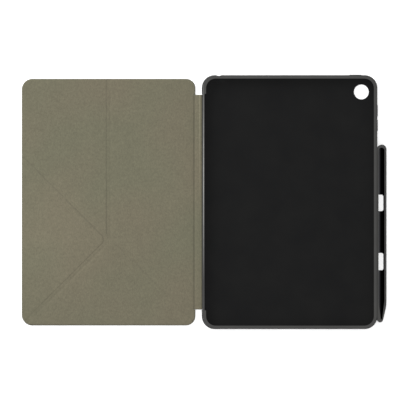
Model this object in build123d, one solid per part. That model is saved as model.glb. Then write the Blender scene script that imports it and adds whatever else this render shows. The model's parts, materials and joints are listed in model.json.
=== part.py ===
from build123d import *
import os
from math import cos, radians, sin

# Folding case for a 10.2-inch tablet, lying open and flat with its inner side up.
# +X runs from the cover to the tray, +Y to the tablet's camera end, +Z up.
# The origin is the bottom centre of the open case's box. All sizes are in millimetres.

# ---------------------------------------------------------------- driving dimensions
TABLET_W = 174.1            # the tablet that the tray holds
TABLET_H = 250.6
TABLET_T = 7.5
HALF_LENGTH = 183.7         # half of the open case, from the cover's free edge to the pen holder

SKIN = 0.7                  # outer leather
BOARD = 0.9                 # stiff board inside each panel
LINING = 0.4                # inner lining on a board
GROOVE_LINING = 0.3         # the same lining pressed into a crease
COVER_T = SKIN + BOARD + LINING
GROOVE_Z = SKIN + GROOVE_LINING

COVER_H = 248.8
COVER_EDGE_X = -8.6         # the cover's edge beside the spine
COVER_FREE_R = 10.7         # corners at the free edge
COVER_SPINE_R = 9.5         # corners beside the spine
COVER_HINGE_X = -10.5       # fold between cover and spine
TRAY_HINGE_X = -2.3         # fold between spine and tray
SPINE_H = 216.6

VALLEY_GAP = 2.0            # board edge to the fold line, where the lining folds on itself
RIDGE_GAP = 2.3             # the same where the leather side folds inwards
SEAM = 0.1                  # between the skins of neighbouring panels
RIM = 0.5                   # lining edge to leather edge round the cover

SIDE_WALL = 1.1             # tray walls beside the tablet
END_WALL = 2.2              # tray walls at the tablet's two ends
SIDE_PLAY = 0.15
END_PLAY = 0.2
TRAY_FLOOR = 1.1
TRAY_R = 12.8
LIP_T = 0.65
LIP_PLAY = 0.05

# ---------------------------------------------------------------- derived dimensions
TRAY_W = TABLET_W + 2 * (SIDE_WALL + SIDE_PLAY)
TRAY_H = TABLET_H + 2 * (END_WALL + END_PLAY)
PEN_W = 9.2
TRAY_RIGHT = HALF_LENGTH - PEN_W
TRAY_LEFT = TRAY_RIGHT - TRAY_W
TRAY_MID = (TRAY_LEFT + TRAY_RIGHT) / 2
TABLET_RIGHT = TRAY_MID + TABLET_W / 2
SEAT_Z = SKIN + TRAY_FLOOR
LIP_Z = SEAT_Z + TABLET_T + LIP_PLAY
TRAY_TOP = LIP_Z + LIP_T

HALF_COVER = COVER_H / 2
HALF_SPINE = SPINE_H / 2
BOARD_Z = SKIN + BOARD
# The four creases meet at a vertex as far from the cover's bottom edge as from its sides.
VERTEX_X = (COVER_HINGE_X - HALF_LENGTH) / 2
VERTEX_Y = -HALF_COVER + (COVER_HINGE_X + HALF_LENGTH) / 2
UP, UPPER_LEFT, LOWER_LEFT, LOWER_RIGHT = 90, 135, 225, 315
REACH = 400                 # longer than any panel

WALL_Z = 5.5                # height of the buttons and ports in the tray's walls


# ---------------------------------------------------------------- helpers
def slab(face, bottom, top):
    """The face, which lies at z = 0, made solid between two heights."""
    return Pos(0, 0, bottom) * extrude(face, top - bottom)


def rectangle(left, right, low, high, radius=0):
    """A rectangle between four sides, with its corners rounded."""
    middle = Pos((left + right) / 2, (low + high) / 2)
    width, height = right - left, high - low
    plain = Rectangle(width, height)
    return middle * (RectangleRounded(width, height, radius) if radius else plain)


def sector(start, end, start_gap, end_gap):
    """The plane between two creases, counter-clockwise, each side moved in by its gap."""
    first = Vector(cos(radians(start)), sin(radians(start)))
    last = Vector(cos(radians(end)), sin(radians(end)))
    span = sin(radians(end - start))
    apex = Vector(VERTEX_X, VERTEX_Y) + (first * end_gap + last * start_gap) / span
    far = apex + (first + last) * REACH
    return make_face(Polyline(apex, apex + first * REACH, far, apex + last * REACH, close=True))


def cover_outline(inset):
    """The cover's outline, moved in all round."""
    outline = rectangle(
        -HALF_LENGTH + inset,
        COVER_EDGE_X - inset,
        -HALF_COVER + inset,
        HALF_COVER - inset,
    )
    outline = fillet(outline.vertices().group_by(Axis.X)[0], COVER_FREE_R - inset)
    return fillet(outline.vertices().group_by(Axis.X)[-1], COVER_SPINE_R - inset)


def beside_spine(past_fold):
    """The strip that the cover leaves free for the spine, from a distance past the fold."""
    return rectangle(
        COVER_HINGE_X + past_fold,
        COVER_EDGE_X + 1,
        -HALF_SPINE - 3 * SEAM,
        HALF_SPINE + 3 * SEAM,
    )


def near_vertex(solid, distance):
    """The solid's upright edges within a distance of the creases' vertex."""
    vertex = Vector(VERTEX_X, VERTEX_Y)
    upright = solid.edges().filter_by(Axis.Z)
    return [e for e in upright if (Vector(e.center().X, e.center().Y) - vertex).length < distance]


def bar(x, y, length):
    """A flat magnet that fills the board's thickness, with its length along Y."""
    return slab(Pos(x, y) * Rectangle(MAGNET_W, length), SKIN, BOARD_Z)


def save(node, *solids):
    """Writes one node's solids to its STEP file."""
    shape = solids[0] if len(solids) == 1 else Compound(children=list(solids))
    export_step(shape, f"parts/{node}.step")


# ---------------------------------------------------------------- cover panels
# Each panel: the creases that it lies between, and how far its skin, its low lining and its
# raised lining stop short of each. A negative gap carries the sheet over the fold, so the strip
# in the fold belongs to one side only.
SKIN_OVER_RIDGE = -0.6
LINING_OVER_RIDGE = -1.7
VALLEY_END = VALLEY_GAP + SEAM
MAGNET_W = 5
HOLD_X = -18.6              # magnets that hold the top panel folded on the main panel
HOLD_MIRROR_X = 2 * VERTEX_X - HOLD_X
HOLD = [(92, 26), (62, 12)]     # their places along Y, and their lengths
CLOSER_X = -176.5           # magnets at the free edge that keep the cover closed
PANELS = {
    "main_panel": {
        "creases": (LOWER_RIGHT - 360, UP),
        "skin": (-VALLEY_GAP, -VALLEY_GAP),
        "groove": (-VALLEY_GAP, -VALLEY_GAP),
        "raised": (VALLEY_GAP, VALLEY_GAP),
        "apex_r": 3.0,
        "magnets": [(HOLD_X, *place) for place in HOLD],
    },
    "top_panel": {
        "creases": (UP, UPPER_LEFT),
        "skin": (VALLEY_END, SKIN_OVER_RIDGE),
        "groove": (VALLEY_END, LINING_OVER_RIDGE),
        "raised": (VALLEY_END, RIDGE_GAP),
        "apex_r": 1.5,
        "magnets": [(HOLD_MIRROR_X, *place) for place in HOLD],
    },
    "side_panel": {
        "creases": (UPPER_LEFT, LOWER_LEFT),
        "skin": (RIDGE_GAP, VALLEY_END),
        "groove": (RIDGE_GAP, VALLEY_END),
        "raised": (RIDGE_GAP, VALLEY_END),
        "apex_r": 5.0,
        "magnets": [(CLOSER_X, 5, 30), (CLOSER_X, -75, 30)],
    },
    "bottom_panel": {
        "creases": (LOWER_LEFT, LOWER_RIGHT),
        "skin": (-VALLEY_GAP, VALLEY_END),
        "groove": (-VALLEY_GAP, VALLEY_END),
        "raised": (VALLEY_GAP, VALLEY_END),
        "apex_r": 3.0,
        "magnets": [],
    },
}


def make_panel(name, creases, skin, groove, raised, apex_r, magnets):
    """Leather, board, lining and magnets of one stiff panel of the cover."""
    skin_face = cover_outline(0) - beside_spine(-SKIN_OVER_RIDGE)
    leather = slab(skin_face & sector(*creases, *skin), 0, SKIN)

    groove_face = cover_outline(RIM) - beside_spine(-LINING_OVER_RIDGE)
    low = slab(groove_face & sector(*creases, *groove), SKIN, GROOVE_Z)

    boarded = cover_outline(RIM) & rectangle(
        -REACH, COVER_HINGE_X - RIDGE_GAP, -REACH, REACH
    )
    high = slab(boarded & sector(*creases, *raised), SKIN, COVER_T)
    high = fillet(near_vertex(high, 8), apex_r)

    wrap = [gap + LINING for gap in raised]
    under = cover_outline(RIM + LINING) & rectangle(
        -REACH, COVER_HINGE_X - RIDGE_GAP - LINING, -REACH, REACH
    )
    board = slab(under & sector(*creases, *wrap), SKIN, BOARD_Z)
    board = fillet(near_vertex(board, 9), apex_r)

    save(f"{name}_skin", leather)
    save(f"{name}_lining", low + high - board)
    bars = [bar(*place) for place in magnets]
    for piece in bars:
        board -= piece
    save(f"{name}_board", board)
    if bars:
        save(f"{name}_magnets", *bars)


# ---------------------------------------------------------------- spine
def make_spine():
    """The narrow strip between cover and tray, with its stiffener."""
    left = COVER_HINGE_X + RIDGE_GAP
    right = TRAY_HINGE_X - RIDGE_GAP
    strip = rectangle(left, right, -HALF_SPINE, HALF_SPINE)
    low, high = -HALF_SPINE + LINING, HALF_SPINE - LINING
    core = slab(rectangle(left + LINING, right - LINING, low, high), SKIN, BOARD_Z)
    save("spine_skin", slab(strip, 0, SKIN))
    save("spine_stiffener", core)
    save("spine_lining", slab(strip, SKIN, COVER_T) - core)


# ---------------------------------------------------------------- tray
BUMPER_END = 109            # the corner bumpers end here, above and below the hinge
BUMPER_STEP = 0.5
BOTTOM_R = 3.4
LIP_LEFT = 2.2              # inner edge of the lip at the left corners
LIP_HINGE_SIDE = 0.6        # and between them
LIP_RIGHT = 171.0
LIP_HALF_H = 124.3
CAMERA = (TABLET_RIGHT - 14.5, TABLET_H / 2 - 14.2)
CAMERA_R = 7.5
COLLAR_R = 9.5
COLLAR_Z = 0.15
JACK_X = 15.1
JACK_R = 3.3
SCOOP_R = 5.4               # notch in the top edge outside the headphone hole
SCOOP_DEPTH = 0.75
MICROPHONE = (4.4, 1.8, 0.8)    # length, height and corner radius of each port
CONNECTOR = (14, 6.4, 3.1)
SPEAKER = (26, 4.2, 2.0)
SPEAKER_OFFSET = 36         # from the connector to the middle of each speaker port
EDGE_R = 0.9                # outer edge of the tray's and the pen holder's tops
PAD_PLAY = 0.3
PAD_PROUD = 0.5
# name: (is it in the top wall, place along the wall, length)
BUTTONS = {
    "power_button_pad": (True, 152.5, 12),
    "volume_up_pad": (False, 92, 11),
    "volume_down_pad": (False, 77, 11),
}
PAD_HEIGHT = 3.6
PAD_R = 1.2


def wall_hole(in_end_wall, place, length, height, radius, inner, outer):
    """A rounded bar through a wall: along X for a side wall, along Y for an end wall."""
    section = RectangleRounded(length, height, radius)
    if in_end_wall:
        plane = Plane((place, inner, WALL_Z), x_dir=(1, 0, 0), z_dir=(0, 1, 0))
    else:
        plane = Plane((inner, place, WALL_Z), x_dir=(0, 1, 0), z_dir=(1, 0, 0))
    return extrude(plane * section, outer - inner)


def make_button(name, in_end_wall, place, length):
    """A press pad in its opening in the wall. Returns the opening."""
    inner = TABLET_H / 2 + END_PLAY if in_end_wall else TABLET_RIGHT + SIDE_PLAY
    outer = TRAY_H / 2 if in_end_wall else TRAY_RIGHT
    pad = wall_hole(in_end_wall, place, length, PAD_HEIGHT, PAD_R, inner, outer + PAD_PROUD)
    save(name, pad)
    return wall_hole(
        in_end_wall,
        place,
        length + 2 * PAD_PLAY,
        PAD_HEIGHT + 2 * PAD_PLAY,
        PAD_R + PAD_PLAY,
        inner - 1,
        outer + 1,
    )


def make_shell():
    """The moulded tray that grips the tablet by a lip all round."""
    half = TRAY_H / 2
    shell = slab(rectangle(TRAY_LEFT, TRAY_RIGHT, -half, half, TRAY_R), SKIN, TRAY_TOP)
    shell = fillet(shell.edges().group_by(Axis.Z)[0], BOTTOM_R)
    shell = fillet(shell.edges().group_by(Axis.Z)[-1], EDGE_R)
    hinge_side = rectangle(
        TRAY_LEFT - 2, TRAY_LEFT + BUMPER_STEP, -BUMPER_END, BUMPER_END, 0.4
    )
    shell -= slab(hinge_side, 0, TRAY_TOP + 1)

    inside = slab(
        rectangle(
            TRAY_LEFT + SIDE_WALL,
            TRAY_RIGHT - SIDE_WALL,
            -half + END_WALL,
            half - END_WALL,
            TRAY_R - SIDE_WALL,
        ),
        SEAT_Z,
        LIP_Z,
    )
    inside = fillet(inside.edges().group_by(Axis.Z)[0], BOTTOM_R - SIDE_WALL)
    lip_hole = rectangle(LIP_LEFT, LIP_RIGHT, -LIP_HALF_H, LIP_HALF_H, 9.6)
    lip_hole += rectangle(LIP_HINGE_SIDE, TRAY_MID, -BUMPER_END, BUMPER_END, 0.7)
    shell -= inside
    shell -= slab(lip_hole, LIP_Z - 1, TRAY_TOP + 1)

    # camera window, with a collar that comes through the leather
    collar = Pos(*CAMERA) * Circle(COLLAR_R)
    shell += slab(collar, COLLAR_Z, SKIN)
    shell -= slab(Pos(*CAMERA) * Circle(CAMERA_R), 0, SEAT_Z + 1)

    # ports in the end walls: headphones and microphone above, connector and speakers below
    top_in, top_out = half - END_WALL - 1, half + 1
    shell -= wall_hole(True, JACK_X, 2 * JACK_R, 2 * JACK_R, JACK_R - 0.01, top_in, top_out)
    shell -= wall_hole(True, TRAY_MID, *MICROPHONE, top_in, top_out)
    scoop = Pos(JACK_X, half + SCOOP_R - SCOOP_DEPTH) * Circle(SCOOP_R)
    shell -= slab(scoop, 0, TRAY_TOP + 1)
    shell -= wall_hole(True, TRAY_MID, *CONNECTOR, -top_out, -top_in)
    for offset in (-SPEAKER_OFFSET, SPEAKER_OFFSET):
        shell -= wall_hole(True, TRAY_MID + offset, *SPEAKER, -top_out, -top_in)

    for name, place in BUTTONS.items():
        shell -= make_button(name, *place)
    save("back_shell", shell)


SKIN_MARGIN = 4.2           # the back's leather stops short of the tray's rounded edges
HINGE_TAB = 0.6             # how far the leather runs past the tray's fold


def make_back_skin():
    """The leather on the tray's back, which runs on towards the spine."""
    half = TRAY_H / 2 - SKIN_MARGIN
    face = rectangle(TRAY_LEFT + SKIN_MARGIN, TRAY_RIGHT - SKIN_MARGIN, -half, half, 9)
    face += rectangle(TRAY_HINGE_X - HINGE_TAB, TRAY_MID, -HALF_SPINE, HALF_SPINE)
    face -= Pos(*CAMERA) * Circle(COLLAR_R + 0.2)
    save("back_skin", slab(face, 0, SKIN))
    tab_left = TRAY_HINGE_X + LINING_OVER_RIDGE
    tab = rectangle(tab_left, TRAY_LEFT + 1.8, -HALF_SPINE, HALF_SPINE)
    save("hinge_lining_tab", slab(tab, SKIN, GROOVE_Z))


# ---------------------------------------------------------------- pen holder
PEN_TOP = 57.8              # ends of the holder along Y
PEN_TIP = -120.9
PEN_R = 4.05                # the channel for the stylus
PEN_WALL = HALF_LENGTH - TRAY_RIGHT - 2 * PEN_R - 0.15
PEN_AXIS_X = HALF_LENGTH - PEN_WALL - PEN_R
PEN_AXIS_Z = 5.25
PEN_HEIGHT = 9.3
MOUTH = 3.05                # half-width of the slot along the top of the channel
TAPER_START = -99
TAPER_END = -118
WINDOWS = [(-0.8, 16.6), (-60, 17.4)]
WINDOW_RIGHT = 181.0
NIB_TOP = (182.5, -109)     # the outline's right side narrows from here
NIB_LOW = (180.2, -118.6)   # to here
NIB_END = (178.3, -120.8)   # and rounds over this point


def make_pen_holder():
    """An open channel along the tray's side, with a pointed lower end."""
    top_r = PEN_W / 2
    shoulder = PEN_TOP - top_r
    outline = [
        Line((TRAY_RIGHT, PEN_TIP + 2.2), (TRAY_RIGHT, shoulder)),
        ThreePointArc(
            (TRAY_RIGHT, shoulder), (TRAY_RIGHT + top_r, PEN_TOP), (HALF_LENGTH, shoulder)
        ),
        Line((HALF_LENGTH, shoulder), (HALF_LENGTH, TAPER_START)),
        TangentArc((HALF_LENGTH, TAPER_START), NIB_TOP, tangent=(0, -1)),
        Line(NIB_TOP, NIB_LOW),
        ThreePointArc(NIB_LOW, NIB_END, (TRAY_RIGHT, PEN_TIP + 2.2)),
    ]
    bottom = PEN_AXIS_Z - PEN_R - PEN_WALL
    section = rectangle(TRAY_RIGHT, HALF_LENGTH, bottom, PEN_HEIGHT)
    section = fillet(section.vertices().group_by(Axis.X)[-1].sort_by(Axis.Y)[0], PEN_R)
    section = fillet(section.vertices().group_by(Axis.Y)[-1].sort_by(Axis.X)[-1], EDGE_R)
    along = extrude(Plane.XZ * section, REACH / 2, both=True)
    holder = slab(make_face(outline), 0, PEN_HEIGHT) & along

    channel_top = PEN_TOP - 2.9
    profile = Polyline(
        (0, channel_top),
        (PEN_R, channel_top),
        (PEN_R, TAPER_START),
        (0.9, TAPER_END),
        (0, TAPER_END),
        close=True,
    )
    channel = revolve(make_face(profile), Axis.Y)
    holder -= Pos(PEN_AXIS_X, 0, PEN_AXIS_Z) * channel
    mouth = FilletPolyline(
        (PEN_AXIS_X - MOUTH, channel_top),
        (PEN_AXIS_X + MOUTH, channel_top),
        (PEN_AXIS_X + MOUTH, TAPER_START),
        (PEN_AXIS_X + 0.7, TAPER_END),
        (PEN_AXIS_X - 0.7, TAPER_END),
        (PEN_AXIS_X - MOUTH, TAPER_START),
        radius=[3.0, 3.0, 8, 0.6, 0.6, 8],
        close=True,
    )
    holder -= slab(make_face(mouth), PEN_AXIS_Z, PEN_HEIGHT + 1)
    for middle, length in WINDOWS:
        window = rectangle(
            PEN_AXIS_X - MOUTH, WINDOW_RIGHT, middle - length / 2, middle + length / 2
        )
        window = fillet(window.vertices().group_by(Axis.X)[-1], 1.9)
        holder -= slab(window, bottom - 1, PEN_AXIS_Z)
    save("pen_holder", holder)


# ---------------------------------------------------------------- the whole case
os.makedirs("parts", exist_ok=True)
for panel, sizes in PANELS.items():
    make_panel(panel, **sizes)
make_spine()
make_shell()
make_back_skin()
make_pen_holder()
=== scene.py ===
# The looks of a folding tablet case, built around its imported CAD frame, in metres.
# The leather outside and the lining inside are each one sheet on the real case. Here they are
# flat pieces on the panels, joined by strips across the folds.
import json
from math import cos, hypot, pi, radians, sin, sqrt, tan

import bmesh
import bpy
from mathutils import Matrix, Vector


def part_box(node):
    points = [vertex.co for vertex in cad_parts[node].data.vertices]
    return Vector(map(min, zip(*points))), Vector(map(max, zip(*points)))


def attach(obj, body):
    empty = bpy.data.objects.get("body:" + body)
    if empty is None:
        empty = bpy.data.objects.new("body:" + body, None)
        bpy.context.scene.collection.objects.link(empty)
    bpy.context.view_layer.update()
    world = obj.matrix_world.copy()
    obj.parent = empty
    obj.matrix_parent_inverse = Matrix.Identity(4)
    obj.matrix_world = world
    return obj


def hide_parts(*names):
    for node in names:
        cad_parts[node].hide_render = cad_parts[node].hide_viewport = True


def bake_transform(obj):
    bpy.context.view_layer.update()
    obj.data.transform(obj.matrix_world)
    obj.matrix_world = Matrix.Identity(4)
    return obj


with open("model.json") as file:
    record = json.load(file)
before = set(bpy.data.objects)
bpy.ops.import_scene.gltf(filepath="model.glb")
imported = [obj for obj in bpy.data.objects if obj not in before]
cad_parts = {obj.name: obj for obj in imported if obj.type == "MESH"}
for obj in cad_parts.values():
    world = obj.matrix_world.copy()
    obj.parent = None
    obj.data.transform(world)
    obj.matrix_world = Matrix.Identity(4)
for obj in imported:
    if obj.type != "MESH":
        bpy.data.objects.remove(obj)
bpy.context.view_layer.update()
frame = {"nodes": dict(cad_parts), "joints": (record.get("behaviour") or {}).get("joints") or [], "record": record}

# ---------------------------------------------------------------- places, from the frame
MM = 0.001
JOINTS = {joint["name"]: joint for joint in frame["joints"]}
VERTEX = Vector(JOINTS["upright_crease"]["pos_m"])      # where the cover's four creases meet
COVER_FOLD = Vector(JOINTS["cover_fold"]["pos_m"])
TRAY_FOLD = Vector(JOINTS["spine_fold"]["pos_m"])

COVER_LEFT, COVER_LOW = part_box("side_panel_skin")[0].x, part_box("bottom_panel_skin")[0].y
COVER_RIGHT, COVER_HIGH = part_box("main_panel_skin")[1].x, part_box("main_panel_skin")[1].y
LEATHER_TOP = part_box("main_panel_skin")[1].z
BOARD_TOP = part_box("main_panel_board")[1].z
LINING_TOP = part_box("main_panel_lining")[1].z
TURNED_EDGE = 0.12 * MM     # leather that shows round the lining
SPINE_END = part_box("spine_lining")[1].y

OPENINGS = {place["name"]: place for place in frame["record"]["physics"]["openings"]}
CAMERA_WINDOW = [Vector(corner) for corner in OPENINGS["camera_window"]["box_m"]]
PAINTED_HIGHLIGHT_X = -0.36 * MM       # X of the middle of the tray's rim beside the spine, where its painted highlight line runs
PAINTED_HIGHLIGHT_Y = 25 * MM        # Y of the middle of that painted highlight's brightest stretch
STIFFENER_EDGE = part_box("spine_stiffener")[1].x
COLLAR_RADIUS = 9.7 * MM    # the collar round the camera window, with a little air
DRILL_DEPTH = 20 * MM       # well through any piece

FREE_CORNER = 10.7 * MM     # radius of the cover's corners at its free edge
SPINE_CORNER = 9.5 * MM     # and beside the spine
EDGE_ROUND = 1.0 * MM       # width of the lining's rounded edges
LEATHER_ROUND = 0.45 * MM   # the same for the leather's outer edges, and their height
SPINE_ROUND = 0.6 * MM      # the same for the spine's ends
# Where the rings of a rounded edge lie, in widths of the edge, and a last ring inside them.
EDGE_STEPS = (0, 0.04, 0.13, 0.28, 0.5, 0.75, 1)
INNER_RING = 1.3
SPINE_CLEAR = 0.08 * MM     # between the spine's ends and the cover beside them

# ---------------------------------------------------------------- folds
# Each panel lies between two creases, given by their directions from the vertex in degrees.
# apex: radius of the raised lining's corner at the vertex.
PANELS = {
    "main_panel": {"start": -45, "end": 90, "apex": 4.0 * MM},
    "top_panel": {"start": 90, "end": 135, "apex": 1.5 * MM},
    "side_panel": {"start": 135, "end": 225, "apex": 5.0 * MM},
    "bottom_panel": {"start": 225, "end": 315, "apex": 3.0 * MM},
}
# bodies, gaps and shoulders: on the clockwise side of the crease, then on the other. A shoulder is
# the part of the panel that slopes down to the crease.
# begins: where the relief starts and is whole, in millimetres from the vertex, on each side.
# fade: the share of it that is lost towards the cover's edge.
# section: distance to the left of the crease and depth of the lining, in millimetres, and how
# much painted shade darkens its colour there.
CREASES = {
    90: {
        "name": "upright_crease",
        "bodies": ("main_panel", "top_panel"),
        "gaps": (2.0 * MM, 2.1 * MM),
        "shoulders": (3.6 * MM, 0),
        "begins": ((-2, 2), (3.5, 7.5)),
        "fade": 0.4,
        "section": [
            (-5.4, 0, 0), (-4.9, 0.04, 0), (-4.3, 0.16, 0), (-3.6, 0.3, 0), (-3, 0.36, 0),
            (-2.5, 0.36, 0), (-2, 0.32, 0.08), (-1.5, 0.27, 0.03), (0.3, 0.27, 0), (0.6, 0.25, 0.05),
            (1, 0.18, 0.2), (1.4, 0.09, 0.32), (1.8, 0.02, 0.24), (2.1, 0, 0),
        ],
    },
    135: {
        "name": "upper_left_crease",
        "bodies": ("top_panel", "side_panel"),
        "gaps": (2.3 * MM, 2.3 * MM),
        "shoulders": (0, 0),
        "begins": ((-1.5, 1.5), (-1.5, 1.5)),
        "fade": 0.25,
        "section": [
            (-2.3, 0, 0), (-1.8, 0.02, 0.02), (-1, 0.02, 0), (0.1, 0.02, 0), (0.5, 0.05, 0.06),
            (0.9, 0.15, 0.17), (1.35, 0.19, 0.22), (1.8, 0.12, 0.15), (2.1, 0.03, 0.04), (2.3, 0, 0),
        ],
    },
    225: {
        "name": "lower_left_crease",
        "bodies": ("side_panel", "bottom_panel"),
        "gaps": (2.1 * MM, 2.0 * MM),
        "shoulders": (0, 2.8 * MM),
        "begins": ((-1.5, 1.5), (1, 12)),
        "fade": 0.2,
        "section": [
            (-2.1, 0, 0), (-1.8, 0.05, 0.06), (-1.35, 0.15, 0.12), (-0.9, 0.24, 0.05), (-0.5, 0.26, 0),
            (0, 0.22, 0), (0.5, 0.21, 0), (1.1, 0.26, 0), (1.7, 0.33, 0), (2.2, 0.37, 0),
            (2.6, 0.36, 0), (3.1, 0.26, 0), (3.6, 0.13, 0), (4.1, 0.03, 0), (4.6, 0, 0),
        ],
    },
    315: {
        "name": "lower_right_crease",
        "bodies": ("bottom_panel", "main_panel"),
        "gaps": (2.1 * MM, 2.0 * MM),
        "shoulders": (1.3 * MM, 1.8 * MM),
        "begins": ((2, 9), (8, 24)),
        "fade": 0.3,
        "section": [
            (-3.4, 0, 0), (-2.6, 0.04, 0), (-1.4, 0.06, 0), (1.6, 0.06, 0), (2.3, 0.05, 0.03),
            (3, 0.04, 0.1), (3.5, 0.01, 0.03), (3.8, 0, 0),
        ],
    },
}
OPEN_CREASE = 225           # its two panels are on separate branches, so its strip is in halves
FADE_REACH = 110            # millimetres from the vertex to where the relief has faded
# The same section for the spine's two folds.
COVER_FOLD_SECTION = [
    (-4.1, 0, 0), (-3, 0, 0), (-2.4, 0.03, 0), (-1.8, 0.1, 0.04), (-1.3, 0.27, 0.14),
    (-0.9, 0.5, 0.22), (-0.5, 0.3, 0.16), (0, 0.12, 0.06), (0.6, 0.03, 0), (1.4, 0, 0), (2.3, 0, 0),
]
TRAY_FOLD_SECTION = [
    (-1.95, 1.0, 0.3), (-0.9, 1.0, 0.3), (-0.75, 0.85, 0.3), (-0.5, 0.5, 0.16),
    (-0.25, 0.22, 0.04), (0.05, 0.05, 0), (0.4, 0, 0), (4.1, 0, 0),
]
LEATHER_GAP = 3.6 * MM      # half the width of a bending strip of leather
# The leather's sections: place (in the first a share of the gap, in the others millimetres) and
# depth of the groove from outside, in millimetres.
LEATHER_SECTION = [(-1, 0), (-0.75, 0.03), (-0.4, 0.17), (0, 0.24), (0.4, 0.17), (0.75, 0.03), (1, 0)]
COVER_FOLD_LEATHER = [(-4.1, 0), (-3, 0.03), (-1.6, 0.25), (0, 0.36), (1.6, 0.25), (3, 0.03), (3.6, 0)]
TRAY_FOLD_LEATHER = [(-3.4, 0), (-2.6, 0.03), (-1.4, 0.25), (0, 0.36), (1.6, 0.25), (3, 0.03), (4.1, 0)]
VERTEX_REACH = 9 * MM       # where the leather's creases have their full depth
VERTEX_SHARE = 0.7          # the share of it that they have at the vertex
STRIP_COLUMNS = 18          # of faces, across a crease's strip
SPINE_COLUMNS = 26          # and across a strip of the spine
SPINE_ROWS = 16             # of faces along the spine, apart from its margins
SPINE_MARGIN = 4 * MM       # from each end of the spine to those rows
ARC_STEPS = 14              # of a rounded rectangle's corner
CORNER_STEPS = 10           # of a panel's rounded corner at the vertex
FINE_ROWS = 10              # rows of a crease's strip beside the vertex, 1 mm apart
ROW_SPACING = 11 * MM       # about how far apart the others are
ROW_MARGIN = 0.5 * MM       # from the last of them to the cover's rounded edge
OVERLAP = 2.1 * MM          # how far each half of the leather laps past the open crease
LAP = 0.32 * MM             # thickness of the outer lap
LAP_AIR = 0.01 * MM         # between the two laps
LAP_EDGE = 0.05 * MM        # the outer lap's least thickness, at the cover's rounded edge
LAP_STEP = 0.02             # width of the outer lap's step, as a share of the leather's gap
OPEN_LIFT = 0.03 * MM       # between the open crease's lining and the leather under it


# ---------------------------------------------------------------- outlines
# An outline is a counter-clockwise list of (point, (share, drop)). The pair describes the edge
# that starts at the point: how much of an inset it takes, and how far its foot lies below the top.
LINING_RIM = (1, LINING_TOP - LEATHER_TOP)
LEATHER_RIM = (1, LEATHER_ROUND)
LEATHER_LEVEL = (0, 0)
SAME_POINT = 0.01 * MM      # points of an outline that are closer than this are one


def shoulder(width):
    """The kind of lining edge beside a crease, with room for a sloping shoulder."""
    return width / (INNER_RING * EDGE_ROUND), 0


def smooth(value):
    """An even step from 0 to 1."""
    value = min(max(value, 0), 1)
    return value * value * (3 - 2 * value)


def rounded(share):
    """Height of a rounded edge, from 0 to 1, at a share of its width."""
    return sqrt(1 - (1 - share) ** 2)


def direction(degrees):
    """The unit vector at an angle from X."""
    return Vector((cos(radians(degrees)), sin(radians(degrees))))


def sideways(along):
    """The direction to the left of another one."""
    return Vector((-along.y, along.x))


def rounded_rectangle(left, right, low, high, left_radius, right_radius, edge):
    """A rectangle with one radius for its left corners and one for its right corners."""
    corners = [
        (Vector((right, low)), -1, 1, right_radius, 270),
        (Vector((right, high)), -1, -1, right_radius, 0),
        (Vector((left, high)), 1, -1, left_radius, 90),
        (Vector((left, low)), 1, 1, left_radius, 180),
    ]
    outline = []
    for corner, side_x, side_y, radius, start in corners:
        centre = corner + Vector((side_x, side_y)) * radius
        for step in range(ARC_STEPS + 1):
            outline.append((centre + direction(start + 90 * step / ARC_STEPS) * radius, edge))
    return outline


def cover_outline(gap, edge):
    """The whole cover's outline, moved in by a gap."""
    return rounded_rectangle(
        COVER_LEFT + gap,
        COVER_RIGHT - gap,
        COVER_LOW + gap,
        COVER_HIGH - gap,
        FREE_CORNER - gap,
        SPINE_CORNER - gap,
        edge,
    )


def clip(outline, point, inward, edge):
    """The part of a convex outline on the inward side of a line through a point."""
    kept = []
    for index, (place, kind) in enumerate(outline):
        following = outline[(index + 1) % len(outline)][0]
        here, there = (place - point).dot(inward), (following - point).dot(inward)
        if here >= 0:
            kept.append((place, kind))
        if (here >= 0) != (there >= 0):
            crossing = place.lerp(following, here / (here - there))
            kept.append((crossing, edge if here >= 0 else kind))
    return [
        (place, kind)
        for index, (place, kind) in enumerate(kept)
        if (kept[(index + 1) % len(kept)][0] - place).length > SAME_POINT
    ]


def round_corner(outline, near, radius):
    """The outline with the corner nearest to a point rounded."""
    index = min(range(len(outline)), key=lambda i: (outline[i][0] - near).length)
    corner, after_edge = outline[index]
    before, before_edge = outline[index - 1]
    after = outline[(index + 1) % len(outline)][0]
    back, ahead = (before - corner).normalized(), (after - corner).normalized()
    half = back.angle(ahead) / 2
    centre = corner + (back + ahead).normalized() * radius / sin(half)
    start = corner + back * radius / tan(half) - centre
    arc = []
    for step in range(CORNER_STEPS):
        turned = Matrix.Rotation((pi - 2 * half) * step / CORNER_STEPS, 2) @ start
        share = (step + 0.5) / CORNER_STEPS
        edge = tuple(a + (b - a) * share for a, b in zip(before_edge, after_edge))
        arc.append((centre + turned, edge))
    arc.append((corner + ahead * radius / tan(half), after_edge))
    return outline[:index] + arc + outline[index + 1 :]


def notched(outline, left, half, edge):
    """The outline with a notch cut into its right side, as far as left, up and down from Y = 0."""
    right = max(place.x for place, _ in outline)
    lower = max(i for i, (p, _) in enumerate(outline) if right - p.x < SAME_POINT and p.y < 0)
    corners = [(Vector((x, y)), edge) for x, y in ((right, -half), (left, -half), (left, half))]
    corners.append((Vector((right, half)), outline[lower][1]))
    return outline[: lower + 1] + corners + outline[lower + 1 :]


def divided(outline):
    """The outline with points near the ends of its long sides and along them."""
    near, apart = 1.6 * MM, 14 * MM     # from a side's ends, and from each other
    result = []
    for index, (place, edge) in enumerate(outline):
        following = outline[(index + 1) % len(outline)][0]
        length = (following - place).length
        result.append((place, edge))
        if length > 4 * near:
            count = max(1, round((length - 2 * near) / apart))
            for step in range(count + 1):
                along = near + (length - 2 * near) * step / count
                result.append((place.lerp(following, along / length), edge))
    return result


MITRED = 0.35               # sine of the turn from which a corner is mitred, not rounded


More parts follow.
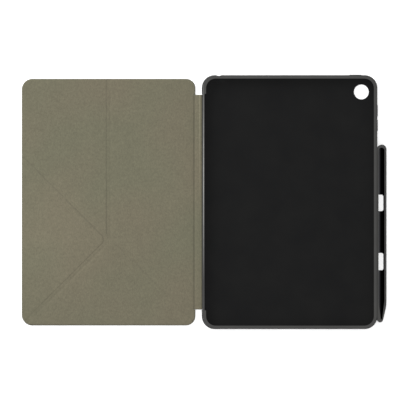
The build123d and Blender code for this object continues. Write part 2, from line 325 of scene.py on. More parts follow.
def inset(outline, distance, evenly=False):
    """The outline's points moved in by a distance, or by each edge's share of it."""
    moved = []
    for index, (place, (share, _)) in enumerate(outline):
        before, (before_share, _) = outline[index - 1]
        following = outline[(index + 1) % len(outline)][0]
        first, second = (place - before).normalized(), (following - place).normalized()
        if evenly:
            before_share = share = 1
        turn = first.cross(second)
        if abs(turn) < MITRED:
            step = sideways(first + second).normalized() * (before_share + share) / 2
        else:
            step = (second * before_share - first * share) / turn
        moved.append(place + step * distance)
    return moved


def area(outline):
    """The plane area inside an outline."""
    pairs = zip(outline, outline[1:] + outline[:1])
    return sum(a.cross(b) for (a, _), (b, _) in pairs) / 2


def way_out(points, start, along):
    """How far a ray runs from inside a convex outline to its edge."""
    nearest = float("inf")
    for index, place in enumerate(points):
        inward = sideways(place - points[index - 1])
        closing = -along.dot(inward)
        if closing > 1e-12:     # the ray runs out through this edge's line
            nearest = min(nearest, (start - place).dot(inward) / closing)
    return nearest


def sector(outline, panel, gaps, edges):
    """The outline's part inside one panel, short of its two creases."""
    origin = VERTEX.to_2d()
    first, last = direction(panel["start"]), direction(panel["end"])
    outline = clip(outline, origin + sideways(first) * gaps[0], sideways(first), edges[0])
    return clip(outline, origin - sideways(last) * gaps[1], -sideways(last), edges[1])


# ---------------------------------------------------------------- meshes
SHARP = radians(35)         # edges that turn more than this stay sharp
SAME_PLACE = 0.002 * MM     # points closer than this are merged


def finish_mesh(name, mesh, material):
    """An object from a bmesh, smooth apart from its sharp edges."""
    bmesh.ops.remove_doubles(mesh, verts=mesh.verts, dist=SAME_PLACE)
    bmesh.ops.dissolve_degenerate(mesh, edges=mesh.edges, dist=SAME_PLACE)
    bmesh.ops.recalc_face_normals(mesh, faces=mesh.faces)
    data = bpy.data.meshes.new(name)
    mesh.to_mesh(data)
    mesh.free()
    data.shade_smooth()
    data.set_sharp_from_angle(angle=SHARP)
    data.materials.append(material)
    piece = bpy.data.objects.new(name, data)
    bpy.context.scene.collection.objects.link(piece)
    return piece


def slab(name, outline, rings, material):
    """A closed solid from rings: each an inset, is it even, a height and a share of the drop."""
    mesh = bmesh.new()
    drops = [max(edge[1], outline[i - 1][1][1]) for i, (_, edge) in enumerate(outline)]
    loops = []
    for distance, evenly, height, share in rings:
        places = inset(outline, distance, evenly)
        loops.append(
            [mesh.verts.new((*p, height + share * drop)) for p, drop in zip(places, drops)]
        )
    for lower, upper in zip(loops, loops[1:]):
        for index in range(len(lower)):
            mesh.faces.new((lower[index - 1], lower[index], upper[index], upper[index - 1]))
    mesh.faces.new(loops[-1])
    mesh.faces.new(loops[0][::-1])
    return finish_mesh(name, mesh, material)


def strip_mesh(name, rows, material):
    """A closed strip from rows of (place, bottom, top)."""
    mesh = bmesh.new()
    top = [[mesh.verts.new((*place, high)) for place, _, high in row] for row in rows]
    bottom = [[mesh.verts.new((*place, low)) for place, low, _ in row] for row in rows]
    for row in range(len(rows) - 1):
        for sheet in (top, bottom):
            here, there = sheet[row], sheet[row + 1]
            for column in range(len(here) - 1):
                mesh.faces.new(
                    (here[column], here[column + 1], there[column + 1], there[column])
                )
        for column in (0, -1):
            mesh.faces.new(
                (top[row][column], top[row + 1][column], bottom[row + 1][column], bottom[row][column])
            )
    for row in (0, -1):
        for column in range(len(rows[0]) - 1):
            mesh.faces.new(
                (top[row][column], top[row][column + 1], bottom[row][column + 1], bottom[row][column])
            )
    return finish_mesh(name, mesh, material)


def section_at(section, place):
    """The values that a section of (place, value, ...) has at a place."""
    for (start, *first), (end, *last) in zip(section, section[1:]):
        if start <= place <= end:
            share = (place - start) / (end - start)
            return [a + (b - a) * share for a, b in zip(first, last)]
    return section[-1][1:]


def side_distance(angle, away, across):
    """The distance from a crease, bent round the side panel's rounded corner; millimetres."""
    radius = PANELS["side_panel"]["apex"] / MM
    upper, lower = CREASES[135]["gaps"][1] / MM, CREASES[225]["gaps"][0] / MM
    from_centre = away - direction(225) * (upper + radius) - direction(135) * (lower + radius)
    from_edge = from_centre.length - radius
    if from_centre.dot(direction(225)) < 0 and from_centre.dot(direction(135)) < 0:
        if angle == 135 and across > 0:
            return max(upper - from_edge, 0)
        if angle == 225 and across < 0:
            return min(from_edge - lower, 0)
    return across


def relief(place):
    """How deep the lining is pressed in at a place on the cover, and how much painted shade darkens it there."""
    depth, dark = 0, 0
    for angle, crease in CREASES.items():
        along = direction(angle)
        away = (place - VERTEX.to_2d()) / MM
        distance = away.dot(along)
        across = side_distance(angle, away, away.dot(sideways(along)))
        shares = [smooth((distance - start) / (end - start)) for start, end in crease["begins"]]
        beside = smooth((across + 1) / 2)       # 0 on the clockwise side and 1 on the other
        share = shares[0] + (shares[1] - shares[0]) * beside
        share *= 1 - crease["fade"] * smooth(distance / FADE_REACH)
        deep, deep_dark = section_at(crease["section"], across)
        depth, dark = max(depth, deep * share), max(dark, deep_dark * share)
    return depth * MM, dark


def corner_centre(gap, other_gap, radius, angle):
    """How far along a crease the centre of a panel's rounded corner lies from the vertex."""
    turn = radians(angle)
    return ((other_gap + radius) + (gap + radius) * cos(turn)) / sin(turn)


def corner_places(gap, other_gap, radius, angle):
    """How far along the crease the points of that corner lie, from its middle on."""
    centre = corner_centre(gap, other_gap, radius, angle)
    turns = [(pi - radians(angle)) * step / CORNER_STEPS for step in range(CORNER_STEPS // 2 + 1)]
    return [centre - radius * sin(turn) for turn in turns]


def reach(along, gap, other_gap, radius, angle):
    """How far a crease's strip reaches sideways into a panel, at a distance from the vertex.

    It stops half-way to the panel's other crease, then at the panel's rounded corner."""
    centre = corner_centre(gap, other_gap, radius, angle)
    away = hypot(centre, gap + radius)
    if along <= (away - radius) * centre / away:
        return along * (gap + radius) / centre
    if along < centre:
        return gap + radius - sqrt(max(radius**2 - (centre - along) ** 2, 0))
    return gap


# ---------------------------------------------------------------- materials
class Nodes:
    """A material's node tree, with a short call for each node."""

    def __init__(self, name):
        self.material = bpy.data.materials.new(name)
        self.material.use_nodes = True
        self.tree = self.material.node_tree
        self.shader = self.tree.nodes["Principled BSDF"]
        self.place = self.tree.nodes.new("ShaderNodeTexCoord").outputs["Object"]

    def feed(self, socket, value):
        """Links a socket to another one, or sets it to a plain value."""
        if isinstance(value, bpy.types.NodeSocket):
            self.tree.links.new(value, socket)
        else:
            socket.default_value = value

    def add(self, kind, inputs, **settings):
        """A node with its settings, and its inputs fed."""
        node = self.tree.nodes.new(kind)
        for key, value in settings.items():
            setattr(node, key, value)
        for key, value in inputs.items():
            self.feed(node.inputs[key], value)
        return node

    def noise(self, scale, detail=2.0, roughness=0.5, stretch=(1, 1, 1)):
        """Noise from 0 to 1 whose patches are a size in metres."""
        place = self.place
        if stretch != (1, 1, 1):
            place = self.add(
                "ShaderNodeMapping", {"Vector": place, "Scale": stretch}
            ).outputs["Vector"]
        inputs = {"Vector": place, "Scale": 1 / scale, "Detail": detail, "Roughness": roughness}
        return self.add("ShaderNodeTexNoise", inputs).outputs["Fac"]

    def cells(self, size):
        """The distance from the edges of cells that are a size in metres."""
        inputs = {"Vector": self.place, "Scale": 1 / size}
        node = self.add("ShaderNodeTexVoronoi", inputs, feature="DISTANCE_TO_EDGE")
        return node.outputs["Distance"]

    def ramp(self, value, *stops):
        """A colour ramp over a value, from (place, colour) stops."""
        node = self.add("ShaderNodeValToRGB", {"Fac": value})
        elements = node.color_ramp.elements
        while len(elements) < len(stops):
            elements.new(0.5)
        for element, (place, colour) in zip(elements, stops):
            element.position = place
            element.color = (*colour, 1)
        return node.outputs["Color"]

    def spread(self, value, low, high, start=0.0, end=1.0):
        """A value from start to end, put on a range from low to high."""
        inputs = {"Value": value, "From Min": start, "From Max": end, "To Min": low, "To Max": high}
        return self.add("ShaderNodeMapRange", inputs).outputs["Result"]

    def mix(self, share, first, second, blend="MIX"):
        """Two colours mixed, with a share of the second."""
        first, second = ((*c, 1) if isinstance(c, tuple) else c for c in (first, second))
        inputs = {0: share, 6: first, 7: second}
        node = self.add("ShaderNodeMix", inputs, data_type="RGBA", blend_type=blend)
        return node.outputs[2]

    def math(self, operation, first, second=0.0):
        """A sum or other operation on one or two values."""
        return self.add("ShaderNodeMath", {0: first, 1: second}, operation=operation).outputs[0]

    def bump(self, height, distance, strength=1.0, under=None):
        """A normal from a height, whose full range is a distance in metres."""
        inputs = {"Height": height, "Distance": distance, "Strength": strength}
        if under is not None:
            inputs["Normal"] = under
        return self.add("ShaderNodeBump", inputs).outputs["Normal"]

    def set(self, **inputs):
        """Sets or links the shader's sockets, by name with _ for a space."""
        for key, value in inputs.items():
            self.feed(self.shader.inputs[key.replace("_", " ")], value)
        return self.material


def grey(value):
    """A grey colour."""
    return (value, value, value)


def painted_lining_light_and_shade(nodes):
    """Painted light and shade on the lining: paler painted light on the side panel and the spine, duller with
    painted shade towards the cover's top.

    The spine also has a painted highlight line beside its stiffener, strongest at the top."""
    middle = (VERTEX.x - 62 * MM, VERTEX.y, 0)
    away = nodes.add(
        "ShaderNodeVectorMath", {0: nodes.place, 1: middle}, operation="DISTANCE"
    ).outputs["Value"]
    axes = nodes.add("ShaderNodeSeparateXYZ", {"Vector": nodes.place}).outputs
    on_side = nodes.spread(away, 1.0, 0.0, 15 * MM, 75 * MM)
    on_spine = nodes.spread(axes["X"], 0.0, 1.0, COVER_FOLD.x + 1 * MM, COVER_FOLD.x + 3 * MM)
    painted_light = nodes.math("MULTIPLY", nodes.math("MAXIMUM", on_side, on_spine), 0.08)
    near_top = nodes.spread(axes["Y"], 0.0, 0.055, 5 * MM, 110 * MM)
    painted_shade = nodes.math("MULTIPLY", near_top, nodes.math("SUBTRACT", 1.0, on_spine))
    off_line = nodes.math("SUBTRACT", axes["X"], STIFFENER_EDGE + 0.6 * MM)
    painted_highlight_line = nodes.spread(nodes.math("ABSOLUTE", off_line), 0.4, 0.0, 0.35 * MM, 0.65 * MM)
    painted_highlight_line = nodes.math("MULTIPLY", painted_highlight_line, nodes.spread(axes["Y"], 0.0, 1.0, -15 * MM, 75 * MM))
    painted_light = nodes.math("ADD", painted_light, painted_highlight_line)
    return nodes.math("ADD", nodes.math("SUBTRACT", 1.0, painted_shade), painted_light)


def lining_material():
    """Taupe microfibre: a short nap with a faint mottle, over fine fibres."""
    nodes = Nodes("microfibre_lining")
    clouds = nodes.noise(90 * MM, 1, 0.5)
    patches = nodes.noise(14 * MM, 3, 0.6)
    mottle = nodes.noise(2.6 * MM, 3, 0.65)
    fibres = nodes.noise(0.55 * MM, 4, 0.75)
    strokes = nodes.noise(1.1 * MM, 2, 0.6, (1, 0.45, 1))
    warm, green = (0.1265, 0.1137, 0.078), (0.1195, 0.1143, 0.077)
    colour = nodes.ramp(clouds, (0.38, warm), (0.62, green))
    for noise, dark, light in (
        (patches, 0.965, 1.025),
        (mottle, 0.905, 1.075),
        (strokes, 0.91, 1.075),
        (fibres, 0.82, 1.14),
    ):
        shade = nodes.ramp(noise, (0.28, grey(dark)), (0.72, grey(light)))
        colour = nodes.mix(1.0, colour, shade, "MULTIPLY")
    # Painted light and shade over the lining's colour: a paler side panel and spine, a duller top and a highlight
    # line on the spine.
    colour = nodes.mix(1.0, colour, painted_lining_light_and_shade(nodes), "MULTIPLY")
    # Painted shade darkens the colour in the creases and along the spine's folds.
    painted_crease_shade = nodes.add("ShaderNodeAttribute", {}, attribute_name="painted_crease_shade").outputs["Fac"]
    colour = nodes.mix(painted_crease_shade, colour, (0.045, 0.041, 0.031))
    nap = nodes.bump(nodes.noise(0.5 * MM, 3, 0.7), 0.06 * MM, 0.55)
    nap = nodes.bump(strokes, 0.08 * MM, 0.25, nap)
    return nodes.set(
        Base_Color=colour,
        Roughness=nodes.spread(mottle, 0.86, 0.97),
        Sheen_Weight=0.22,
        Sheen_Roughness=0.45,
        Specular_IOR_Level=0.18,
        Normal=nap,
    )


def leather_material():
    """Black pebbled leather: flat-topped pebbles with creases between them."""
    nodes = Nodes("outer_leather")
    pebbles = nodes.ramp(nodes.cells(1.25 * MM), (0.0, grey(0)), (0.16, grey(1)))
    small = nodes.ramp(nodes.cells(0.7 * MM), (0.0, grey(0)), (0.2, grey(1)))
    wear = nodes.noise(22 * MM, 4, 0.6)
    fine = nodes.noise(0.25 * MM, 2, 0.6)
    colour = nodes.ramp(wear, (0.3, (0.008, 0.008, 0.0085)), (0.7, (0.014, 0.0137, 0.0137)))
    shade = nodes.ramp(pebbles, (0.0, grey(0.55)), (0.8, grey(1.1)))
    colour = nodes.mix(1.0, colour, shade, "MULTIPLY")
    grain = nodes.bump(pebbles, 0.05 * MM, 0.6)
    grain = nodes.bump(small, 0.02 * MM, 0.5, grain)
    grain = nodes.bump(fine, 0.008 * MM, 0.4, grain)
    return nodes.set(
        Base_Color=colour,
        Roughness=nodes.spread(wear, 0.6, 0.72),
        Specular_IOR_Level=0.18,
        Normal=grain,
    )


def trough_painted_light_and_shade(nodes, plain, axes):
    """The pen holder's colour: painted light down its channel's left wall and near-black painted shade to the
    right.
    """
    low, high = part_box("pen_holder")
    across = nodes.spread(axes["X"], 0.0, 1.0, low.x + 1.1 * MM, low.x + 3.6 * MM)
    # Painted light down the channel's left wall, near-black painted shade to its right.
    painted_channel = nodes.ramp(
        across, (0.0, (0.14, 0.14, 0.147)), (0.55, (0.045, 0.045, 0.048)), (1.0, grey(0.0004))
    )
    past_side = nodes.spread(axes["X"], 0.0, 1.0, high.x - 0.8 * MM, high.x - 0.5 * MM)
    off_middle = nodes.math("ABSOLUTE", nodes.math("SUBTRACT", axes["Y"], (low.y + high.y) / 2))
    half = (high.y - low.y) / 2
    past_end = nodes.spread(off_middle, 0.0, 1.0, half - 2.9 * MM, half - 2.6 * MM)
    return nodes.mix(nodes.math("MAXIMUM", past_side, past_end), painted_channel, plain)


def shell_material(name, top, depth, gloss, has_trough=False):
    """Dark moulded plastic, matt: a paler tone painted along its top as light, near-black painted shade below it,
    and a painted highlight line on the rim beside the spine.

    depth: how far below the top the painted paler tone has gone. gloss: specular level down there.
    has_trough: is it the pen holder, whose channel has painted light and shade of its own."""
    nodes = Nodes(name)
    clouds = nodes.noise(30 * MM, 3, 0.55)
    grit = nodes.noise(0.35 * MM, 3, 0.7)
    axes = nodes.add("ShaderNodeSeparateXYZ", {"Vector": nodes.place}).outputs
    # Paler painted light along the top, near-black painted shade below it.
    rim = nodes.spread(axes["Z"], 0.0, 1.0, top - depth, top - 0.3 * MM)
    low = nodes.ramp(clouds, (0.3, (0.0048, 0.0049, 0.0051)), (0.7, (0.0064, 0.0064, 0.0063)))
    high = nodes.ramp(clouds, (0.3, (0.029, 0.0287, 0.0275)), (0.7, (0.036, 0.0356, 0.034)))
    if has_trough:
        low = trough_painted_light_and_shade(nodes, low, axes)
    colour = nodes.mix(rim, low, high)
    # A painted highlight line along the rim beside the spine, brightest near its middle.
    off_highlight = nodes.math("ABSOLUTE", nodes.math("SUBTRACT", axes["X"], PAINTED_HIGHLIGHT_X))
    off_middle = nodes.math("ABSOLUTE", nodes.math("SUBTRACT", axes["Y"], PAINTED_HIGHLIGHT_Y))
    edge = nodes.spread(off_highlight, 1.0, 0.0, 0.32 * MM, 0.52 * MM)
    edge = nodes.math("MULTIPLY", edge, nodes.spread(off_middle, 1.0, 0.0, 18 * MM, 105 * MM))
    edge = nodes.math("MULTIPLY", edge, rim)
    edge = nodes.math("MULTIPLY", edge, nodes.spread(nodes.noise(9 * MM), 0.75, 1.1, 0.3, 0.7))
    colour = nodes.mix(edge, colour, (0.25, 0.246, 0.235))
    shade = nodes.ramp(grit, (0.3, grey(0.85)), (0.7, grey(1.12)))
    colour = nodes.mix(1.0, colour, shade, "MULTIPLY")
    return nodes.set(
        Base_Color=colour,
        Roughness=nodes.spread(grit, 0.55, 0.7),
        Specular_IOR_Level=nodes.spread(rim, gloss, 0.22),
        Normal=nodes.bump(grit, 0.012 * MM, 0.5),
    )


def board_material():
    """Grey board with a fibrous face."""
    nodes = Nodes("stiff_board")
    fibres = nodes.noise(1.2 * MM, 4, 0.7, (1, 0.25, 1))
    colour = nodes.ramp(fibres, (0.3, (0.27, 0.25, 0.21)), (0.7, (0.4, 0.37, 0.31)))
    return nodes.set(Base_Color=colour, Roughness=0.9, Normal=nodes.bump(fibres, 0.05 * MM, 0.5))


def magnet_material():
    """Nickel-plated magnets with faint scuffs."""
    nodes = Nodes("plated_magnet")
    scuffs = nodes.noise(1.5 * MM, 4, 0.7, (0.2, 1, 1))
    return nodes.set(
        Base_Color=nodes.ramp(scuffs, (0.3, grey(0.48)), (0.7, grey(0.6))),
        Metallic=1.0,
        Roughness=nodes.spread(scuffs, 0.22, 0.4),
    )


LINING = lining_material()
LEATHER = leather_material()
SHELL = shell_material("soft_moulded_shell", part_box("back_shell")[1].z, 1.1 * MM, 0.05)
PEN_HOLDER = shell_material("moulded_pen_holder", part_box("pen_holder")[1].z, 1.5 * MM, 0.01, True)


# ---------------------------------------------------------------- lining and leather
def darken(piece, values):
    """Marks how much painted crease shade darkens each point of a lining."""
    attribute = piece.data.attributes.new("painted_crease_shade", "FLOAT", "POINT")
    attribute.data.foreach_set("value", values)


def press(piece):
    """Presses the creases' relief into a level lining and marks its painted shade."""
    darkness = []
    for vertex in piece.data.vertices:
        depth, dark = relief(vertex.co.to_2d())
        vertex.co.z = min(vertex.co.z, LINING_TOP - depth)
        darkness.append(dark)
    darken(piece, darkness)


def round_rings(top):
    """Rings over a rounded edge, from its foot to the level face inside it."""
    rings = [(EDGE_ROUND * s, False, top, rounded(s) - 1) for s in EDGE_STEPS]
    return rings + [(EDGE_ROUND * INNER_RING, False, top, 0)]


def lining_gaps(panel):
    """A panel's gaps and edges beside its two creases."""
    first, last = CREASES[panel["start"] % 360], CREASES[panel["end"]]
    gaps = (first["gaps"][1], last["gaps"][0])
    return gaps, (shoulder(first["shoulders"][1]), shoulder(last["shoulders"][0]))


def make_lining(name, panel):
    """The lining on a panel's board: raised, level, wrapped down over its outer edges."""
    gaps, edges = lining_gaps(panel)
    outline = sector(cover_outline(TURNED_EDGE, LINING_RIM), panel, gaps, edges)
    outline = round_corner(outline, VERTEX.to_2d(), panel["apex"])
    if name == "main_panel":
        board_edge = COVER_FOLD.x - COVER_FOLD_SECTION[-1][0] * MM
        outline = notched(outline, board_edge, SPINE_END + SPINE_CLEAR, shoulder(0))
    outline = divided(outline)
    under = LINING_TOP - BOARD_TOP
    rings = [
        (under, True, BOARD_TOP, 0),
        (under, True, LEATHER_TOP, 0),
        (0, True, LEATHER_TOP, 0),
        *round_rings(LINING_TOP),
    ]
    piece = slab(f"{name}_microfibre", outline, rings, LINING)
    press(piece)
    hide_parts(f"{name}_lining")
    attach(piece, name)
    return piece, outline


def leather_rings():
    """Rings from the leather's underside, round its edge."""
    rings = [(LEATHER_ROUND * s, False, 0, 1 - rounded(s)) for s in reversed(EDGE_STEPS)]
    return [(LEATHER_ROUND * INNER_RING, False, 0, 0)] + rings


def make_leather(name, panel):
    """The leather under a panel, with its outer edges rounded."""
    gaps = (LEATHER_GAP, LEATHER_GAP)
    outline = sector(cover_outline(0, LEATHER_RIM), panel, gaps, (LEATHER_LEVEL, LEATHER_LEVEL))
    if name == "main_panel":
        strip_edge = COVER_FOLD.x - LEATHER_GAP
        outline = notched(outline, strip_edge, SPINE_END + SPINE_CLEAR, LEATHER_LEVEL)
    outline = divided(outline)
    bevel = 0.1 * MM
    rings = leather_rings() + [(0, False, LEATHER_TOP - bevel, 0), (bevel, False, LEATHER_TOP, 0)]
    piece = slab(f"{name}_leather", outline, rings, LEATHER)
    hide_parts(f"{name}_skin")
    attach(piece, name)
    return piece, outline


def crease_rows(angle, columns, sides, profile, ends):
    """Rows of a crease's strip, from the vertex to the cover's edge.

    columns: places across the strip, from -1 to 1. sides: what reach() needs on the clockwise
    side and on the other. profile gives bottom and top at (place across, how far from the
    vertex as a share, drop of the rounded edge). ends: (outline, drop) near the cover's edge."""
    origin, along = VERTEX.to_2d(), direction(angle)
    across = sideways(along)

    def side_of(column):
        return sides[1] if column > 0 else sides[0]

    full = [column * side_of(column)[0] for column in columns]
    stop = min(way_out(ends[0][0], origin + across * t, along) for t in full) - ROW_MARGIN
    places = [step * MM for step in range(FINE_ROWS)]
    places = sorted(places + [place for side in sides for place in corner_places(*side)])
    near = FINE_ROWS * MM
    count = round((stop - near) / ROW_SPACING)
    places += [near + (stop - near) * step / count for step in range(count + 1)]
    rows = []
    for place in places:
        spread = smooth(place / VERTEX_REACH)
        row = []
        for column in columns:
            offset = column * reach(place, *side_of(column))
            row.append((origin + along * place + across * offset, *profile(column, spread, 0)))
        rows.append(row)
    for points, drop in ends:
        row = []
        for column, offset in zip(columns, full):
            start = origin + across * offset
            place = start + along * way_out(points, start, along)
            row.append((place, *profile(column, 1, drop)))
        rows.append(row)
    return rows


def corner_sides(angle, gaps_of, radius_of):
    """What reach() needs on each side of a crease: gap, the other gap, radius and angle."""
    sides = []
    for panel in PANELS.values():
        width = panel["end"] - panel["start"]
        gaps = gaps_of(panel)
        if panel["end"] == angle:
            sides.insert(0, (gaps[1], gaps[0], radius_of(panel), width))
        if panel["start"] % 360 == angle:
            sides.append((gaps[0], gaps[1], radius_of(panel), width))
    return sides


def even_columns(start, end, count):
    """Evenly spaced values from start to end, with count spaces between them."""
    return [start + (end - start) * step / count for step in range(count + 1)]


def bend(piece):
    """Bakes a strip's placement into its mesh."""
    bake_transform(piece)


def join_bodies(strips, angle, crease):
    """Bakes a crease's strip in place, or lets its halves go with one body each."""
    if angle == OPEN_CREASE:
        for strip, body in zip(strips, crease["bodies"]):
            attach(strip, body)
    else:
        bend(strips[0])


def strip_ends(gap, rim, width):
    """Where a strip's last rows lie, over the cover's rounded edge: (outline, drop) each."""
    shares = [(width * s, rim[1] * (1 - rounded(s))) for s in reversed(EDGE_STEPS)]
    shares.insert(0, (width * INNER_RING, 0))
    outline = cover_outline(gap, rim)
    return [(inset(outline, distance), drop) for distance, drop in shares]


def lining_strips(angle, crease):
    """The lining in a crease: one strip, or two halves in the open crease."""
    sides = corner_sides(angle, lambda p: lining_gaps(p)[0], lambda p: p["apex"])
    ends = strip_ends(TURNED_EDGE, LINING_RIM, EDGE_ROUND)
    under = LEATHER_TOP + (OPEN_LIFT if angle == OPEN_CREASE else 0)

    def profile(column, spread, drop):
        """The same all along and across, apart from the cover's rounded edge."""
        return under, max(LINING_TOP - drop, under)

    halves = [(-1, 1, crease["name"])]
    if angle == OPEN_CREASE:
        halves = [(-1, 0, "side_half"), (0, 1, "bottom_half")]
    strips = []
    for start, end, label in halves:
        columns = even_columns(start, end, STRIP_COLUMNS // len(halves))
        rows = crease_rows(angle, columns, sides, profile, ends)
        strip = strip_mesh(f"{label}_microfibre", rows, LINING)
        press(strip)
        strips.append(strip)
    join_bodies(strips, angle, crease)
    return strips


def leather_strips(angle, crease):
    """The leather in a crease: one strip, or two lapped halves in the open crease."""
    sides = corner_sides(angle, lambda p: (LEATHER_GAP, LEATHER_GAP), lambda p: 0)
    ends = strip_ends(0, LEATHER_RIM, LEATHER_ROUND)

    def outer(column, spread, drop):
        """The underside: the crease's groove, or the cover's rounded edge."""
        share = VERTEX_SHARE + (1 - VERTEX_SHARE) * spread
        return max(section_at(LEATHER_SECTION, column)[0] * MM * share, drop)

    def whole(column, spread, drop):
        return outer(column, spread, drop), LEATHER_TOP

    lap = OVERLAP / LEATHER_GAP

    def side_half(column, spread, drop):
        """As thick as the leather, then a thin lap on the outside."""
        top = LEATHER_TOP if column < LAP_STEP / 2 - lap else LAP + outer(column, spread, 0)
        return outer(column, spread, drop), max(top, drop + LAP_EDGE)

    def bottom_half(column, spread, drop):
        """A lap inside the other one, then as thick as the leather."""
        low = outer(column, spread, drop)
        inner = LAP + outer(column, spread, 0) + LAP_AIR
        return (low if column > lap else max(low, inner)), LEATHER_TOP

    halves = [(even_columns(-1, 1, STRIP_COLUMNS), whole, crease["name"])]
    if angle == OPEN_CREASE:
        side = even_columns(-1, -lap, 4) + even_columns(LAP_STEP - lap, lap, 10)
        bottom = even_columns(2 * LAP_STEP - lap, lap, 10) + even_columns(lap + LAP_STEP / 2, 1, 4)
        halves = [(side, side_half, "side_half"), (bottom, bottom_half, "bottom_half")]
    strips = []
    for columns, profile, label in halves:
        rows = crease_rows(angle, columns, sides, profile, ends)
        strip = strip_mesh(f"{label}_leather", rows, LEATHER)
        strips.append(strip)
    join_bodies(strips, angle, crease)
    return strips


def spine_strip(name, fold, section, low_side, base, top, material):
    """A strip along the spine, across one of its folds.

    low_side: is the section pressed into its underside. The strip's ends are rounded, apart from
    where they meet the cover."""
    first, last = section[0][0], section[-1][0]
    ends = [(SPINE_ROUND * s, 1 - rounded(s)) for s in EDGE_STEPS]
    ends.append((EDGE_ROUND, 0))
    lengths = [-SPINE_END + gap for gap, _ in ends]
    drops = [drop for _, drop in ends]
    inner = even_columns(SPINE_MARGIN - SPINE_END, SPINE_END - SPINE_MARGIN, SPINE_ROWS)
    rows = []
    for y, drop in zip(
        lengths + inner + [-length for length in reversed(lengths)],
        drops + [0] * len(inner) + drops[::-1],
    ):
        row = []
        for across in even_columns(first, last, SPINE_COLUMNS):
            depth = section_at(section, across)[0] * MM
            on_cover = smooth(across + 0.5) if fold is COVER_FOLD else 0
            place = Vector((fold.x - across * MM, y * (1 + on_cover * SPINE_CLEAR / SPINE_END)))
            dip = drop * (1 - on_cover)
            if low_side:
                row.append((place, base + max(depth, dip * LEATHER_RIM[1]), top))
            else:
                row.append((place, base, max(top - max(depth, dip * (top - base)), base)))
        rows.append(row)
    return strip_mesh(name, rows, material)


def fold_strips(label, fold, section, outer, turns):
    """Lining and leather across one of the spine's folds.

    turns: for each, how far before and after the fold it bends, in millimetres; not used."""
    lining = spine_strip(
        f"{label}_microfibre", fold, section, False, LEATHER_TOP, LINING_TOP, LINING
    )
    places = [(fold.x - vertex.co.x) / MM for vertex in lining.data.vertices]
    darken(lining, [section_at(section, place)[1] for place in places])
    leather = spine_strip(f"{label}_leather", fold, outer, True, 0, LEATHER_TOP, LEATHER)
    slots = ("inner_lining", "outer_leather")
    for strip, name, (back, ahead) in zip((lining, leather), slots, turns):
        bend(strip)
    return lining, leather


def make_spine():
    """Lining and leather over the spine, each in two strips that meet along its middle."""
    cover_lining, cover_leather = fold_strips(
        "cover_fold",
        COVER_FOLD,
        COVER_FOLD_SECTION,
        COVER_FOLD_LEATHER,
        ((2.3, 2.3), (3.3, 3.3)),
    )
    tray_lining, tray_leather = fold_strips(
        "tray_fold",
        TRAY_FOLD,
        TRAY_FOLD_SECTION,
        TRAY_FOLD_LEATHER,
        ((1.3, 2.3), (2.9, 3.3)),
    )
    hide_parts("spine_lining")
    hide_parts("spine_lining", "hinge_lining_tab")
    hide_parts("spine_skin")
    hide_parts("spine_skin")
    return [cover_lining, tray_lining], [cover_leather, tray_leather]


def declare(outline):
    """Works out the width, length and area of a panel's lining or leather outline."""
    places = [place for place, _ in outline]
    width = max(p.x for p in places) - min(p.x for p in places)
    length = max(p.y for p in places) - min(p.y for p in places)
    min(area(outline), width * length)


def make_cover():
    """The cover's four panels, their creases and the spine."""
    linings, leathers = make_spine()
    lining_of, leather_of = {name: [] for name in PANELS}, {name: [] for name in PANELS}
    lining_of["main_panel"] += linings
    leather_of["main_panel"] += leathers
    for angle, crease in CREASES.items():
        for strip, body in zip(lining_strips(angle, crease), crease["bodies"]):
            lining_of[body].append(strip)
        for strip, body in zip(leather_strips(angle, crease), crease["bodies"]):
            leather_of[body].append(strip)
    for name, panel in PANELS.items():
        piece, outline = make_lining(name, panel)
        declare(outline)
        piece, outline = make_leather(name, panel)
        declare(outline)


# ---------------------------------------------------------------- tray
def drill(piece, centre, radius):
    """Cuts a round hole through a piece, along Z."""
    mesh = bmesh.new()
    bmesh.ops.create_cone(
        mesh, cap_ends=True, segments=72, radius1=radius, radius2=radius, depth=DRILL_DEPTH
    )
    bmesh.ops.translate(mesh, verts=mesh.verts, vec=centre)
    cutter = finish_mesh("cutter", mesh, LEATHER)
    modifier = piece.modifiers.new("hole", "BOOLEAN")
    modifier.operation, modifier.solver, modifier.object = "DIFFERENCE", "EXACT", cutter
    shown = piece.evaluated_get(bpy.context.evaluated_depsgraph_get())
    piece.data = bpy.data.meshes.new_from_object(shown)
    piece.modifiers.clear()
    bpy.data.objects.remove(cutter)


def make_back_leather():
    """The leather on the tray's back, with its camera window."""
    low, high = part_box("back_skin")
    left = TRAY_FOLD.x - TRAY_FOLD_LEATHER[0][0] * MM
    radii = (0.4 * MM, 9 * MM)
    outline = rounded_rectangle(left, high.x, low.y, high.y, *radii, LEATHER_RIM)
    rings = leather_rings() + [(0, False, LEATHER_TOP, 0)]
    piece = slab("back_leather", divided(outline), rings, LEATHER)
    window_low, window_high = CAMERA_WINDOW
    drill(piece, (window_low + window_high) / 2, COLLAR_RADIUS)
    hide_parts("back_skin")
    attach(piece, "tray")


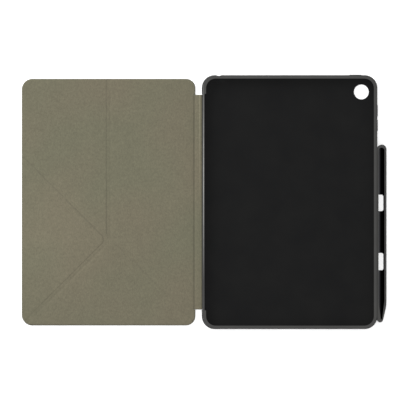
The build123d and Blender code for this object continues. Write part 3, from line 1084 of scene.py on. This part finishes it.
def dress_nodes():
    """Gives every CAD node that stays in view its material."""
    board, magnet = board_material(), magnet_material()
    for name, node in frame["nodes"].items():
        if "board" in name or "stiffener" in name:
            node.data.materials[0] = board
        elif "magnets" in name:
            node.data.materials[0] = magnet
        elif not node.hide_render:
            node.data.materials[0] = PEN_HOLDER if name == "pen_holder" else SHELL


# ---------------------------------------------------------------- camera, lights and floor
CAMERA_PLACE = (0.1 * MM, -1.9 * MM, 3.43)      # almost straight above, looking down
LENS = 300                  # millimetres
FLOOR_HALF = 4.0            # half the floor's side


def make_camera():
    """A long lens far above the case."""
    data = bpy.data.cameras.new("camera")
    data.lens = LENS
    data.clip_end = 20
    camera = bpy.data.objects.new("camera", data)
    bpy.context.scene.collection.objects.link(camera)
    camera.location = CAMERA_PLACE
    bpy.context.scene.camera = camera


def make_light(name, place, size, power):
    """A soft square light that faces the origin."""
    data = bpy.data.lights.new(name, "AREA")
    data.size = size
    data.energy = power
    light = bpy.data.objects.new(name, data)
    bpy.context.scene.collection.objects.link(light)
    light.location = place
    to_origin = Vector((0, 0, 0)) - light.location
    light.rotation_euler = to_origin.to_track_quat("-Z", "Y").to_euler()


def make_floor():
    """A white floor, lit a little by itself."""
    mesh = bmesh.new()
    bmesh.ops.create_grid(mesh, x_segments=1, y_segments=1, size=FLOOR_HALF)
    data = bpy.data.meshes.new("floor")
    mesh.to_mesh(data)
    mesh.free()
    floor = bpy.data.objects.new("floor", data)
    bpy.context.scene.collection.objects.link(floor)
    material = Nodes("floor").set(
        Base_Color=(0.96, 0.96, 0.96, 1),
        Roughness=0.9,
        Emission_Color=(1, 1, 1, 1),
        Emission_Strength=0.1,
    )
    data.materials.append(material)


def make_studio():
    """The floor under soft light: from all round, from above and low from the upper left."""
    scene = bpy.context.scene
    scene.view_settings.view_transform = "Standard"
    make_floor()
    world = bpy.data.worlds.new("studio")
    scene.world = world
    world.use_nodes = True
    background = world.node_tree.nodes["Background"].inputs
    background["Color"].default_value = (1, 1, 1, 1)
    background["Strength"].default_value = 0.52
    make_light("overhead", place=(0, 0, 4.2), size=0.8, power=112)
    make_light("key", place=(-0.77, 0.77, 0.51), size=0.7, power=13.5)


make_camera()
make_studio()
make_cover()
make_back_leather()
dress_nodes()
